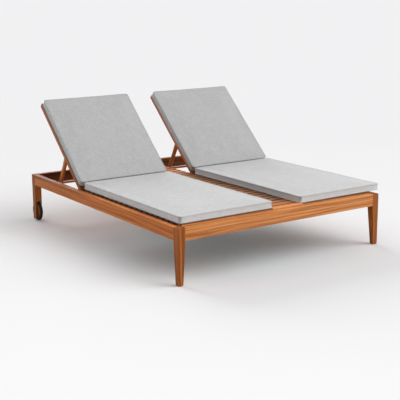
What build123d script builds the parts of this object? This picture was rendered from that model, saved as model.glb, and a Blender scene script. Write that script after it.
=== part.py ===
from build123d import *
from math import cos, radians, sin, sqrt
import os

# Double chaise lounger in teak: one slatted deck on four legs, two backrests that
# recline on their own props, two wheels in the rear legs and four loose cushions.
# Millimetres. X runs across the lounger, Y from the foot end to the head end, Z up.

# Overall frame
frame_width = 1600
frame_length = 2000
rail_top = 350
rail_height = 80
rail_thickness = 35
rail_round = 4
tenon_length = 18
tenon_thickness = 12
tenon_shoulder = 12
joint_gap = 0.2
overrun = 5

# Legs
leg_size = 50
leg_foot = 32
leg_edge = 2
glide_height = 3
glide_radius = 12
rear_leg_lift = 10
rear_leg_taper = 10

# Wheels
wheel_radius = 70
wheel_rim_radius = 59
tyre_width = 22
tyre_shoulder = 5
disc_width = 18
disc_dish = 4
disc_dish_radius = 44
bush_radius = 10
axle_radius = 5
axle_inset = 1
axle_setback = 25
fork_cheek = 12
fork_headroom = 8
running_gap = 0.05
side_play = 0.5

# Deck
slat_width = 50
slat_thickness = 22
slat_pitch = 62.4
slat_edge = 2
slat_proud = 10
slat_setback = 39
slat_side_gap = 2
centre_slat_overhang = 5
notch_gap = 1

# Centre beams, ledgers and corner blocks
beam_spacing = 290
beam_height = 68
ledger_width = 20
ledger_height = 30
ledger_to_hinge = 60
block_gap = 1
block_thickness = 12
block_height = 30
front_block_drop = 2
rear_block_drop = 10

# Backrests
back_rest_angle = 42.8
hinge_from_head = 711
back_side_gap = 2
stile_width = 28
stile_depth = 35
stile_length = 794
stile_ear = 16
stile_under = 1
stile_tip_round = 6
back_slat_thickness = 12
housing_depth = 8
back_top_rail_width = 50
back_top_rail_depth = 22
back_bottom_rail_start = 12
back_bottom_rail_width = 33
back_tenon_length = 16
back_tenon_thickness = 8
back_tenon_shoulder = 6
hinge_bolt_radius = 5
hinge_head_radius = 8
bolt_head_height = 6
bolt_cover = 5
spacer_radius = 10
spacer_length = 24
seat_gap = 0.3

# Props and their racks
prop_pivot_along = 348
prop_pivot_height = 8
prop_length = 276
prop_rest_angle = 61
prop_depth = 26
prop_thickness = 20
prop_side_gap = 2
prop_relief_share = 0.3
prop_relief_depth = 3
pivot_bolt_radius = 4
pivot_head_radius = 8
foot_bar_radius = 8
foot_bar_overlap = 10
rack_thickness = 18
rack_depth = 30
rack_lead = 118
rack_tail = 186
rack_slope = 5.8
rack_nose = 6
notch_pitch = 50
notch_depth = 4.5
notches_ahead = 1
notches_behind = 3

# Cushions
cushion_overhang = 102
cushion_thickness = 50
cushion_border = 42
cushion_bulge = 4
cushion_corner = 6
cushion_draw = 5
cushion_end_drop = 3
cushion_end_zone = 16
cushion_crown_zone = 150
seat_cushion_setback = 51
seat_cushion_to_hinge = 36
seat_cushion_left_shift = 59
seat_cushion_right_shift = 40
back_cushion_start = 33
back_cushion_tip = 4
back_cushion_left_shift = 49
back_cushion_right_shift = 37

# The part's frame: the origin lies under the middle of everything, on the floor, so
# the overhang of the right cushion and of the wheels moves the woodwork off centre.
inner_half = frame_width / 2 - rail_thickness
leg_half = frame_width / 2 - leg_size
beam_outer = beam_spacing / 2
stile_outer_far = inner_half - back_side_gap
stile_inner_near = beam_outer + spacer_length
back_middle = (stile_outer_far + stile_inner_near) / 2
cushion_width = stile_outer_far - stile_inner_near + cushion_overhang
right_shift = max(seat_cushion_right_shift, back_cushion_right_shift)
rightmost = back_middle + right_shift + cushion_width / 2
rearmost = frame_length / 2 - axle_setback + wheel_radius
centre_x = (frame_width / 2 - rightmost) / 2
centre_y = (frame_length / 2 - rearmost) / 2
foot_y = centre_y - frame_length / 2
head_y = centre_y + frame_length / 2
rail_base = rail_top - rail_height
deck_top = rail_top + slat_proud
deck_base = deck_top - slat_thickness
tenon_height = rail_height - 2 * tenon_shoulder


def export(piece, label):
    piece.part.label = label
    export_step(piece.part, f"parts/{label}.step")


def block(x_span, y_span, z_span, mode=Mode.ADD):
    """A square-edged block between two X, two Y and two Z places."""
    middle = (sum(x_span) / 2, sum(y_span) / 2, min(z_span))
    with BuildSketch(Plane(middle)) as footprint:
        Rectangle(abs(x_span[1] - x_span[0]), abs(y_span[1] - y_span[0]))
    extrude(footprint.sketch, amount=abs(z_span[1] - z_span[0]), mode=mode)


def grown(span, gap):
    return (min(span) - gap, max(span) + gap)


os.makedirs("parts", exist_ok=True)

# Tenons of the long rails: centred in the rail's thickness and height.
tenon_z = (rail_base + tenon_shoulder, rail_base + tenon_shoulder + tenon_height)
foot_tenon_y = (foot_y + (rail_thickness - tenon_thickness) / 2,
                foot_y + (rail_thickness + tenon_thickness) / 2)
head_tenon_y = (head_y - (rail_thickness + tenon_thickness) / 2,
                head_y - (rail_thickness - tenon_thickness) / 2)
side_tenon_inner = frame_width / 2 - (rail_thickness + tenon_thickness) / 2
side_tenon_outer = frame_width / 2 - (rail_thickness - tenon_thickness) / 2
beam_inner = beam_outer - rail_thickness
beam_base = deck_base - beam_height
beam_tenon_z = (beam_base + tenon_shoulder, deck_base - tenon_shoulder)
beam_tenon_inner = beam_inner + (rail_thickness - tenon_thickness) / 2
beam_tenon_outer = beam_inner + (rail_thickness + tenon_thickness) / 2


def end_rail(outer_y, inner_y, tenon_y):
    """Foot or head rail, with a tenon into each leg and mortises for the beams."""
    with BuildPart() as rail:
        block((centre_x - leg_half, centre_x + leg_half), (outer_y, inner_y), (rail_base, rail_top))
        fillet(rail.edges().filter_by(Axis.X), rail_round)
        reach = leg_half + tenon_length
        block((centre_x - reach, centre_x + reach), tenon_y, tenon_z)
        for side in (-1, 1):
            span = (centre_x + side * beam_tenon_inner, centre_x + side * beam_tenon_outer)
            toward = 1 if outer_y > inner_y else -1
            depth = (inner_y, inner_y + toward * (tenon_length + joint_gap))
            block(grown(span, joint_gap), depth, grown(beam_tenon_z, joint_gap), Mode.SUBTRACT)
    return rail


export(end_rail(foot_y, foot_y + rail_thickness, foot_tenon_y), "foot_rail")
export(end_rail(head_y, head_y - rail_thickness, head_tenon_y), "head_rail")

# Backrest hinge line and the directions along and out of a backrest at rest. A stile
# laid level has its front flush with the deck, and a little wood below the line.
hinge_y = head_y - hinge_from_head
along = (0, cos(radians(back_rest_angle)), sin(radians(back_rest_angle)))
front_height = stile_depth - stile_under
hinge_height = deck_top - front_height


def back_plane(x):
    """Side plane of a backrest: local x runs up the stile, local y to its front."""
    return Plane(origin=(x, hinge_y, hinge_height), x_dir=along, z_dir=(1, 0, 0))


def in_back(s, n):
    """World Y and Z of a point s up the stile and n in front of the hinge line."""
    return (hinge_y + s * along[1] - n * along[2], hinge_height + s * along[2] + n * along[1])


def rod(x_span, y, z, radius, mode=Mode.ADD):
    """A round bar along X."""
    with BuildSketch(Plane(origin=(min(x_span), y, z), x_dir=(0, 1, 0), z_dir=(1, 0, 0))) as end:
        Circle(radius)
    extrude(end.sketch, amount=abs(x_span[1] - x_span[0]), mode=mode)


def hex_head(x_span, y, z, radius):
    """A hexagonal bolt head along X."""
    with BuildSketch(Plane(origin=(min(x_span), y, z), x_dir=(0, 1, 0), z_dir=(1, 0, 0))) as end:
        RegularPolygon(radius, side_count=6)
    extrude(end.sketch, amount=abs(x_span[1] - x_span[0]))


def side_rail(side):
    """Long rail between the legs of one side, bored blind for the hinge bolt."""
    outer = centre_x + side * frame_width / 2
    inner = centre_x + side * inner_half
    tenon_x = (centre_x + side * side_tenon_inner, centre_x + side * side_tenon_outer)
    with BuildPart() as rail:
        block((outer, inner), (foot_y + leg_size, head_y - leg_size), (rail_base, rail_top))
        fillet(rail.edges().filter_by(Axis.Y), rail_round)
        reach = leg_size - tenon_length
        block(tenon_x, (foot_y + reach, head_y - reach), tenon_z)
        bore = (inner, outer - side * (bolt_cover - joint_gap))
        rod(bore, hinge_y, hinge_height, hinge_bolt_radius + running_gap, Mode.SUBTRACT)
    return rail


export(side_rail(-1), "side_rail_left")
export(side_rail(1), "side_rail_right")


def cut_mortises(side, tenon_y, toward_middle):
    """Mortises of one leg, for its end rail and its side rail."""
    inner_x = centre_x + side * leg_half
    depth_x = (inner_x, inner_x + side * (tenon_length + joint_gap))
    block(depth_x, grown(tenon_y, joint_gap), grown(tenon_z, joint_gap), Mode.SUBTRACT)
    span = (centre_x + side * side_tenon_inner, centre_x + side * side_tenon_outer)
    face_y = (foot_y + leg_size) if toward_middle > 0 else (head_y - leg_size)
    depth_y = (face_y, face_y - toward_middle * (tenon_length + joint_gap))
    block(grown(span, joint_gap), depth_y, grown(tenon_z, joint_gap), Mode.SUBTRACT)


def front_leg(side):
    """Square leg whose two inner faces taper to the foot."""
    outer_x = centre_x + side * frame_width / 2
    top_middle = (outer_x - side * leg_size / 2, foot_y + leg_size / 2)
    foot_middle = (outer_x - side * leg_foot / 2, foot_y + leg_foot / 2)
    with BuildPart() as leg:
        with BuildSketch(Plane((*foot_middle, glide_height))):
            Rectangle(leg_foot, leg_foot)
        with BuildSketch(Plane((*top_middle, rail_base))):
            Rectangle(leg_size, leg_size)
        loft()
        block((outer_x, outer_x - side * leg_size), (foot_y, foot_y + leg_size), (rail_base, rail_top))
        chamfer(leg.edges().group_by(Axis.Z)[-1], leg_edge)
        cut_mortises(side, foot_tenon_y, 1)
    return leg


# Wheel fork: the slot leaves a cheek outside and the same inside.
fork_outer = frame_width / 2 - fork_cheek
fork_inner = leg_half + fork_cheek
wheel_middle = (fork_outer + fork_inner) / 2
fork_width = fork_outer - fork_inner
axle_y = head_y - axle_setback


def rear_leg(side):
    """Square leg, tapered on its front face and slotted from below as a wheel fork."""
    outer_x = centre_x + side * frame_width / 2
    face_y = head_y - leg_size
    with BuildPart() as leg:
        with BuildSketch(Plane(origin=(min(outer_x, outer_x - side * leg_size), 0, 0),
                               x_dir=(0, 1, 0), z_dir=(1, 0, 0))):
            with BuildLine():
                Polyline((head_y, rear_leg_lift), (head_y, rail_top), (face_y, rail_top),
                         (face_y, rail_base), (face_y + rear_leg_taper, rear_leg_lift),
                         close=True)
            make_face()
        extrude(amount=leg_size)
        chamfer(leg.edges().group_by(Axis.Z)[-1], leg_edge)
        cut_mortises(side, head_tenon_y, -1)
        slot_x = (centre_x + side * fork_inner, centre_x + side * fork_outer)
        slot_top = 2 * wheel_radius + fork_headroom
        block(slot_x, grown((face_y, head_y), overrun), (0, slot_top), Mode.SUBTRACT)
        bore = grown((outer_x, outer_x - side * leg_size), overrun)
        rod(bore, axle_y, wheel_radius, axle_radius + running_gap, Mode.SUBTRACT)
    return leg


export(front_leg(-1), "front_leg_left")
export(front_leg(1), "front_leg_right")
export(rear_leg(-1), "rear_leg_left")
export(rear_leg(1), "rear_leg_right")

# Round glides under the two front legs.
with BuildPart() as front_glides:
    with BuildSketch(Plane((centre_x, foot_y + leg_foot / 2, 0))):
        with GridLocations(frame_width - leg_foot, 0, 2, 1):
            Circle(glide_radius)
    extrude(amount=glide_height)
export(front_glides, "front_glides")


def corner_block_plan(x_side, y_side, reach_back, reach_front):
    """Plan of a brace across one inside corner, mitred flat against both rails."""
    corner = (centre_x + x_side * inner_half, centre_y + y_side * (frame_length / 2 - rail_thickness))
    with BuildSketch(Plane((*corner, 0))) as plan:
        with BuildLine():
            Polyline((-x_side * reach_back, 0), (-x_side * reach_front, 0),
                     (0, -y_side * reach_front), (0, -y_side * reach_back), close=True)
        make_face()
    return plan.sketch


def corner_blocks(y_side, top):
    reach_back = 2 * (leg_size - rail_thickness) + block_gap
    reach_front = reach_back + block_thickness * sqrt(2)
    with BuildPart() as blocks:
        for x_side in (-1, 1):
            plan = corner_block_plan(x_side, y_side, reach_back, reach_front)
            extrude(plan.moved(Location((0, 0, top - block_height))), amount=block_height)
    return blocks


export(corner_blocks(-1, deck_base - ledger_height - front_block_drop), "corner_blocks_front")
export(corner_blocks(1, rail_top - rear_block_drop), "corner_blocks_rear")


def centre_beam(side):
    """Inner beam from the foot rail to the head rail, tenoned into both."""
    span = (centre_x + side * beam_inner, centre_x + side * beam_outer)
    tenon_x = (centre_x + side * beam_tenon_inner, centre_x + side * beam_tenon_outer)
    ends = (foot_y + rail_thickness, head_y - rail_thickness)
    with BuildPart() as beam:
        block(span, ends, (beam_base, deck_base))
        block(tenon_x, grown(ends, tenon_length), beam_tenon_z)
        bore = (span[1], span[0] + side * (bolt_cover - joint_gap))
        rod(bore, hinge_y, hinge_height, hinge_bolt_radius + running_gap, Mode.SUBTRACT)
    return beam


export(centre_beam(-1), "centre_beam_left")
export(centre_beam(1), "centre_beam_right")


def seat_ledger(side):
    """Batten inside the side rail that carries the ends of the seat slats."""
    span = (centre_x + side * inner_half, centre_x + side * (inner_half - ledger_width))
    start = foot_y + leg_size + block_gap
    with BuildPart() as ledger:
        block(span, (start, hinge_y - ledger_to_hinge), (deck_base - ledger_height, deck_base))
    return ledger


export(seat_ledger(-1), "seat_ledger_left")
export(seat_ledger(1), "seat_ledger_right")

# Seat slats run the full width; the first one is notched round both front legs.
first_slat_y = foot_y + slat_setback + slat_width / 2
slat_count = int((frame_length - 2 * slat_setback - slat_width + notch_gap) / slat_pitch) + 1
ledger_reach = hinge_y - ledger_to_hinge - slat_width / 2 - first_slat_y
seat_slat_count = int(ledger_reach / slat_pitch) + 1
seat_slat_length = 2 * (inner_half - slat_side_gap)
with BuildPart() as seat_slats:
    with BuildSketch(Plane.XY.offset(deck_base)):
        with Locations(*[(centre_x, first_slat_y + i * slat_pitch) for i in range(seat_slat_count)]):
            Rectangle(seat_slat_length, slat_width)
    extrude(amount=slat_thickness)
    chamfer(seat_slats.edges().group_by(Axis.Z)[-1].filter_by(Axis.X), slat_edge)
    for side in (-1, 1):
        notch_x = (centre_x + side * (leg_half - notch_gap), centre_x + side * inner_half)
        block(notch_x, (foot_y, foot_y + leg_size + notch_gap),
              grown((deck_base, deck_top), overrun), Mode.SUBTRACT)
export(seat_slats, "seat_slats")

# Short slats close the strip between the backrests, on the two beams.
with BuildPart() as centre_slats:
    with BuildSketch(Plane.XY.offset(deck_base)):
        rows = range(seat_slat_count, slat_count)
        with Locations(*[(centre_x, first_slat_y + i * slat_pitch) for i in rows]):
            Rectangle(beam_spacing + 2 * centre_slat_overhang, slat_width)
    extrude(amount=slat_thickness)
    chamfer(centre_slats.edges().group_by(Axis.Z)[-1].filter_by(Axis.X), slat_edge)
export(centre_slats, "centre_slats")

# Prop geometry at rest: pivot in the stiles, foot bar behind it over the racks.
pivot_y, pivot_z = in_back(prop_pivot_along, prop_pivot_height)
bar_y = pivot_y + prop_length * cos(radians(prop_rest_angle))
bar_z = pivot_z - prop_length * sin(radians(prop_rest_angle))
rack_dir = (0, cos(radians(rack_slope)), -sin(radians(rack_slope)))


def rack(x_low):
    """Toothed batten: tips just under the foot bar's path, round notches between."""
    tip_z = bar_z - foot_bar_radius - seat_gap
    with BuildPart() as batten:
        with BuildSketch(Plane(origin=(x_low, bar_y, tip_z), x_dir=rack_dir, z_dir=(1, 0, 0))):
            with BuildLine():
                Polyline((-rack_lead, 0), (rack_tail, 0), (rack_tail, rack_nose - rack_depth),
                         (rack_tail - rack_nose, -rack_depth), (rack_nose - rack_lead, -rack_depth),
                         (-rack_lead, rack_nose - rack_depth), close=True)
            make_face()
            notch_radius = foot_bar_radius + seat_gap
            seats = range(-notches_ahead, notches_behind + 1)
            with Locations(*[(i * notch_pitch, notch_radius - notch_depth) for i in seats]):
                Circle(notch_radius, mode=Mode.SUBTRACT)
        extrude(amount=rack_thickness)
    return batten


export(rack(centre_x - inner_half), "rack_left_outer")
export(rack(centre_x - beam_outer - rack_thickness), "rack_left_inner")
export(rack(centre_x + beam_outer), "rack_right_inner")
export(rack(centre_x + inner_half - rack_thickness), "rack_right_outer")

# Stiles of a backrest, outer one beside the side rail and inner one near the beam.
stile_outer_near = stile_outer_far - stile_width
stile_inner_far = stile_inner_near + stile_width
top_rail_start = stile_length - back_top_rail_width
slat_gap = slat_pitch - slat_width
bottom_rail_end = back_bottom_rail_start + back_bottom_rail_width
back_slat_count = round((top_rail_start - bottom_rail_end - slat_gap) / slat_pitch)
back_slat_rows = [top_rail_start - slat_gap - slat_width / 2 - i * slat_pitch
                  for i in range(back_slat_count)]
slat_seat = front_height - back_slat_thickness
top_rail_middle = top_rail_start + back_top_rail_width / 2
top_rail_level = front_height - back_top_rail_depth / 2
bottom_rail_middle = back_bottom_rail_start + back_bottom_rail_width / 2
bottom_rail_level = front_height - stile_depth / 2
tenon_places = [(top_rail_middle, top_rail_level, back_top_rail_width),
                (bottom_rail_middle, bottom_rail_level, back_bottom_rail_width)]


def prism(x_span, s, n, s_size, n_size, mode=Mode.ADD):
    """A block in a backrest, centred s up the stile and n in front of the hinge."""
    with BuildSketch(back_plane(min(x_span))) as side_face:
        with Locations((s, n)):
            Rectangle(s_size, n_size)
    extrude(side_face.sketch, amount=abs(x_span[1] - x_span[0]), mode=mode)


def back_rod(x_span, s, n, radius, mode=Mode.ADD):
    rod(x_span, *in_back(s, n), radius, mode)


def stile(side, near, far, inboard):
    """Stile with a hinge ear; slat housings and mortises open on its inboard face."""
    span = (centre_x + side * near, centre_x + side * far)
    face = centre_x + side * inboard
    inward = 1 if face == min(span) else -1
    with BuildPart() as post:
        with BuildSketch(back_plane(min(span))) as profile:
            with BuildLine():
                ear_end = sqrt(stile_ear**2 - stile_under**2)
                diagonal = stile_ear * sin(radians(45))
                Line((stile_length, -stile_under), (ear_end, -stile_under))
                ThreePointArc((ear_end, -stile_under), (0, -stile_ear), (-stile_ear, 0))
                Line((-stile_ear, 0), (-stile_ear, front_height - stile_ear))
                ThreePointArc((-stile_ear, front_height - stile_ear),
                              (-diagonal, front_height - stile_ear + diagonal), (0, front_height))
                Line((0, front_height), (stile_length, front_height))
                Line((stile_length, front_height), (stile_length, -stile_under))
            make_face()
            fillet(profile.vertices().group_by(Axis.X)[-1], stile_tip_round)
        extrude(amount=stile_width)
        pocket = (face, face + inward * housing_depth)
        pocket_size = back_slat_thickness + overrun
        for s in back_slat_rows:
            prism(pocket, s, slat_seat + pocket_size / 2, slat_width + joint_gap, pocket_size,
                  Mode.SUBTRACT)
        mortise = (face, face + inward * (back_tenon_length + joint_gap))
        for s, n, width in tenon_places:
            prism(mortise, s, n, width - 2 * back_tenon_shoulder + joint_gap,
                  back_tenon_thickness + joint_gap, Mode.SUBTRACT)
        back_rod(grown(span, overrun), 0, 0, hinge_bolt_radius + running_gap, Mode.SUBTRACT)
        blind = (face, face + inward * (stile_width - bolt_cover + joint_gap))
        back_rod(blind, prop_pivot_along, prop_pivot_height,
                 pivot_bolt_radius + running_gap, Mode.SUBTRACT)
    return post


def back_rail(side, s, n, s_size, n_size):
    """Rail between the two stiles, with a tenon into each."""
    span = (centre_x + side * stile_inner_far, centre_x + side * stile_outer_near)
    with BuildPart() as rail:
        prism(span, s, n, s_size, n_size)
        chamfer(rail.edges().filter_by(Axis.X), slat_edge)
        prism(grown(span, back_tenon_length), s, n, s_size - 2 * back_tenon_shoulder,
              back_tenon_thickness)
    return rail


def back_slats(side):
    """Thin slats let into the stiles, flush with their front."""
    span = (centre_x + side * stile_inner_far, centre_x + side * stile_outer_near)
    reach = grown(span, housing_depth - joint_gap)
    level = front_height - back_slat_thickness / 2
    with BuildPart() as slats:
        with BuildSketch(back_plane(min(reach))):
            with Locations(*[(s, level) for s in back_slat_rows]):
                Rectangle(slat_width, back_slat_thickness)
        extrude(amount=reach[1] - reach[0])
        front = Plane(origin=(0, *in_back(0, front_height)), x_dir=(1, 0, 0),
                      z_dir=(0, -along[2], along[1]))
        edges = slats.edges().filter_by(Axis.X)
        chamfer([e for e in edges if abs(front.to_local_coords(e.center()).Z) < joint_gap], slat_edge)
    return slats


def pivot_bolts(side):
    """Two bolts that carry the prop, screwed blind into the stiles."""
    stops = ((stile_outer_near, -1, stile_outer_far - bolt_cover),
             (stile_inner_far, 1, stile_inner_near + bolt_cover))
    with BuildPart() as bolts:
        for face, inboard, blind_end in stops:
            head = face + inboard * (prop_side_gap + prop_thickness + seat_gap)
            back_rod(sorted((centre_x + side * head, centre_x + side * blind_end)),
                     prop_pivot_along, prop_pivot_height, pivot_bolt_radius)
            head_end = head + inboard * bolt_head_height
            hex_head(sorted((centre_x + side * head, centre_x + side * head_end)),
                     pivot_y, pivot_z, pivot_head_radius)
    return bolts


for side, name in ((-1, "left"), (1, "right")):
    outer_stile = stile(side, stile_outer_near, stile_outer_far, stile_outer_near)
    inner_stile = stile(side, stile_inner_near, stile_inner_far, stile_inner_far)
    export(outer_stile, f"back_{name}_stile_outer")
    export(inner_stile, f"back_{name}_stile_inner")
    top_rail = back_rail(side, top_rail_middle, top_rail_level, back_top_rail_width, back_top_rail_depth)
    bottom_rail = back_rail(side, bottom_rail_middle, bottom_rail_level, back_bottom_rail_width, stile_depth)
    export(top_rail, f"back_{name}_top_rail")
    export(bottom_rail, f"back_{name}_bottom_rail")
    export(back_slats(side), f"back_{name}_slats")
    export(pivot_bolts(side), f"back_{name}_pivot_bolts")

# Hinge bolts of both backrests, and the spacer tubes on the beams beside them.
with BuildPart() as hinge_bolts:
    for side in (-1, 1):
        stops = ((stile_outer_near, -1, frame_width / 2 - bolt_cover),
                 (stile_inner_far, 1, beam_inner + bolt_cover))
        for face, inboard, blind_end in stops:
            head = face + inboard * seat_gap
            rod(sorted((centre_x + side * head, centre_x + side * blind_end)),
                hinge_y, hinge_height, hinge_bolt_radius)
            head_end = head + inboard * bolt_head_height
            hex_head(sorted((centre_x + side * head, centre_x + side * head_end)),
                     hinge_y, hinge_height, hinge_head_radius)
export(hinge_bolts, "hinge_bolts")

with BuildPart() as hinge_spacers:
    for side in (-1, 1):
        span = sorted((centre_x + side * beam_outer, centre_x + side * (stile_inner_near - seat_gap)))
        rod(span, hinge_y, hinge_height, spacer_radius)
        rod(grown(span, overrun), hinge_y, hinge_height, hinge_bolt_radius + running_gap, Mode.SUBTRACT)
export(hinge_spacers, "hinge_spacers")

# Props: two waisted struts on the pivot bolts, joined by a round foot bar.
strut_outer_far = stile_outer_near - prop_side_gap
strut_inner_near = stile_inner_far + prop_side_gap
prop_dir = (0, cos(radians(prop_rest_angle)), -sin(radians(prop_rest_angle)))


def strut(x_low):
    """Round-ended strut, bored for the pivot bolt and the foot bar."""
    half = prop_depth / 2
    relief = prop_length * prop_relief_share
    with BuildPart() as bar:
        with BuildSketch(Plane(origin=(x_low, pivot_y, pivot_z), x_dir=prop_dir, z_dir=(1, 0, 0))):
            with Locations((prop_length / 2, 0)):
                SlotCenterToCenter(prop_length, prop_depth)
            with BuildLine():
                Line((relief, half), (prop_length - relief, half))
                ThreePointArc((relief, half), (prop_length / 2, half - prop_relief_depth),
                              (prop_length - relief, half))
            make_face(mode=Mode.SUBTRACT)
            Circle(pivot_bolt_radius + running_gap, mode=Mode.SUBTRACT)
            with Locations((prop_length, 0)):
                Circle(foot_bar_radius + running_gap, mode=Mode.SUBTRACT)
        extrude(amount=prop_thickness)
    return bar


def foot_bar(side):
    near = beam_outer + rack_thickness - foot_bar_overlap
    far = inner_half - rack_thickness + foot_bar_overlap
    with BuildPart() as bar:
        rod(sorted((centre_x + side * near, centre_x + side * far)), bar_y, bar_z, foot_bar_radius)
    return bar


for side, name in ((-1, "left"), (1, "right")):
    outer_x = min(side * strut_outer_far, side * (strut_outer_far - prop_thickness))
    inner_x = min(side * strut_inner_near, side * (strut_inner_near + prop_thickness))
    export(strut(centre_x + outer_x), f"prop_{name}_strut_outer")
    export(strut(centre_x + inner_x), f"prop_{name}_strut_inner")
    export(foot_bar(side), f"prop_{name}_foot_bar")

# Wheels: rubber tyre on a dished wooden disc with a bush, on a pin through the fork.
with BuildPart() as wheel_axles:
    for side in (-1, 1):
        span = (centre_x + side * (leg_half + axle_inset), centre_x + side * (frame_width / 2 - axle_inset))
        rod(sorted(span), axle_y, wheel_radius, axle_radius)
export(wheel_axles, "wheel_axles")


def wheel_plane(side):
    """Local x is the wheel's radius and local y its axle."""
    return Plane(origin=(centre_x + side * wheel_middle, axle_y, wheel_radius),
                 x_dir=(0, 0, 1), z_dir=(0, 1, 0))


def wheel(side):
    axle = Axis((centre_x + side * wheel_middle, axle_y, wheel_radius), (1, 0, 0))
    with BuildPart() as tyre:
        with BuildSketch(wheel_plane(side)):
            half = tyre_width / 2
            with BuildLine():
                Polyline((wheel_rim_radius, half), (wheel_radius - tyre_shoulder, half),
                         (wheel_radius, half - tyre_shoulder), (wheel_radius, tyre_shoulder - half),
                         (wheel_radius - tyre_shoulder, -half), (wheel_rim_radius, -half), close=True)
            make_face()
        revolve(axis=axle)
    with BuildPart() as disc:
        with BuildSketch(wheel_plane(side)):
            half = disc_width / 2
            bore = bush_radius + running_gap
            rim = wheel_rim_radius - running_gap
            with BuildLine():
                Polyline((bore, half - disc_dish), (disc_dish_radius, half), (rim, half),
                         (rim, -half), (disc_dish_radius, -half), (bore, disc_dish - half),
                         close=True)
            make_face()
        revolve(axis=axle)
    with BuildPart() as bush:
        length = fork_width - 2 * side_play
        span = (centre_x + side * wheel_middle - length / 2, centre_x + side * wheel_middle + length / 2)
        rod(span, axle_y, wheel_radius, bush_radius)
        rod(grown(span, overrun), axle_y, wheel_radius, axle_radius + running_gap, Mode.SUBTRACT)
    return tyre, disc, bush


for side, name in ((-1, "left"), (1, "right")):
    tyre, disc, bush = wheel(side)
    export(tyre, f"wheel_{name}_tyre")
    export(disc, f"wheel_{name}_disc")
    export(bush, f"wheel_{name}_bush")


def cushion(station, length):
    """Boxed cushion: flat underneath, bulging sides, crowned top, drawn-in ends.

    station(t) gives the section plane t along the cushion, its local x across and
    its local y through the thickness, from the face the cushion lies on.
    """
    rows = [(0, cushion_draw, cushion_end_drop, 0),
            (cushion_end_zone, 0, 0, 0),
            (cushion_crown_zone, 0, 0, cushion_thickness - cushion_border),
            (length - cushion_crown_zone, 0, 0, cushion_thickness - cushion_border),
            (length - cushion_end_zone, 0, 0, 0),
            (length, cushion_draw, cushion_end_drop, 0)]
    with BuildPart() as pad:
        for t, draw, drop, crown in rows:
            half = cushion_width / 2 - cushion_bulge - draw
            height = cushion_border - drop
            top = half - cushion_corner
            with BuildSketch(station(t)):
                with BuildLine():
                    Line((half, 0), (-half, 0))
                    ThreePointArc((-half, 0), (-half - cushion_bulge, height / 2), (-top, height))
                    ThreePointArc((-top, height), (0, height + crown + joint_gap), (top, height))
                    ThreePointArc((top, height), (half + cushion_bulge, height / 2), (half, 0))
                make_face()
        loft(ruled=True)
    return pad


seat_cushion_y = foot_y + seat_cushion_setback
seat_cushion_length = hinge_y - seat_cushion_to_hinge - seat_cushion_y
back_cushion_length = stile_length - back_cushion_tip - back_cushion_start
for middle, name in ((seat_cushion_left_shift - back_middle, "left"),
                     (seat_cushion_right_shift + back_middle, "right")):
    def seat_station(t):
        return Plane(origin=(centre_x + middle, seat_cushion_y + t, deck_top + seat_gap),
                     x_dir=(1, 0, 0), z_dir=(0, -1, 0))
    export(cushion(seat_station, seat_cushion_length), f"seat_cushion_{name}")

for middle, name in ((back_cushion_left_shift - back_middle, "left"),
                     (back_cushion_right_shift + back_middle, "right")):
    def back_station(t):
        spot = in_back(back_cushion_start + t, front_height + seat_gap)
        return Plane(origin=(centre_x + middle, *spot), x_dir=(1, 0, 0),
                     z_dir=(0, -along[1], -along[2]))
    export(cushion(back_station, back_cushion_length), f"back_{name}_cushion")
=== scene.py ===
# %% [markdown]
# # Double chaise lounger: the looks
# The real thing is a teak lounger for two, with two backrests that recline, four grey cushions
# and two wheels at the head end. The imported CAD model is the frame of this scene. Its wooden,
# metal and rubber solids keep their shapes and get materials here. The four cushions are soft,
# and a plain solid can't stand for them, so they are cut, filled, piped and stitched below.
#
# Lengths are in metres. X runs across the lounger, Y from its foot end to its head end, Z up.

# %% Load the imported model
from math import cos, pi, radians, sin

import bpy
from mathutils import Matrix, Vector, noise

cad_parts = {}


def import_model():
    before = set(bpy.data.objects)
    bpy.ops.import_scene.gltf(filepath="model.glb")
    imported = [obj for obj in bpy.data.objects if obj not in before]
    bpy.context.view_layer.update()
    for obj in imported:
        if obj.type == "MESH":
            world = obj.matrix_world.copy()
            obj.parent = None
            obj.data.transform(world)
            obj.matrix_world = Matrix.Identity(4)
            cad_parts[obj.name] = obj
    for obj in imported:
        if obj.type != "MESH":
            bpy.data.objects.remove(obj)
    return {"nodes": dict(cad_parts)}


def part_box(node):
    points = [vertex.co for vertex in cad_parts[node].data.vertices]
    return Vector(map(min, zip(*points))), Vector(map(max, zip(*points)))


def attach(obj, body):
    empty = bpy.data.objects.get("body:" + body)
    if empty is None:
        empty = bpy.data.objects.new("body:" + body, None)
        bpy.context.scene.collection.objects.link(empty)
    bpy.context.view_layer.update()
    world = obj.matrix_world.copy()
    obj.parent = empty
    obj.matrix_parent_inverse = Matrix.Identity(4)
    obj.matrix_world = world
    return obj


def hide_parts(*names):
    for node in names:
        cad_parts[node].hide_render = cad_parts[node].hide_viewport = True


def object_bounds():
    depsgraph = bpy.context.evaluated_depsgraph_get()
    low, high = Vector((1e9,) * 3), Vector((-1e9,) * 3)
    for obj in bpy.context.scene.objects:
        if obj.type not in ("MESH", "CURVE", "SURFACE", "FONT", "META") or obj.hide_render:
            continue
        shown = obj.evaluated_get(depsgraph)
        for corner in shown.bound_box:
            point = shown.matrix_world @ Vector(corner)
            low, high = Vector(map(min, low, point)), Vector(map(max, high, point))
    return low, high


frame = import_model()
cad_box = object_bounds()
NODES = frame["nodes"]
whole = Vector(cad_box[1]) - Vector(cad_box[0])
print(f"the model is {whole.x:.3f} x {whole.y:.3f} x {whole.z:.3f} m")

# %% [markdown]
# ## Directions of the boards and the cloth
# Grain and weave follow a piece, not the room. A UV map could hold them, but every board here is
# straight, so it is enough to measure along a few fixed directions. At rest the backrests lean
# 42.8 degrees up from flat and the props stand at 61 degrees. The patterns are fixed to the
# object, so they go along when a joint moves.

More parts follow.
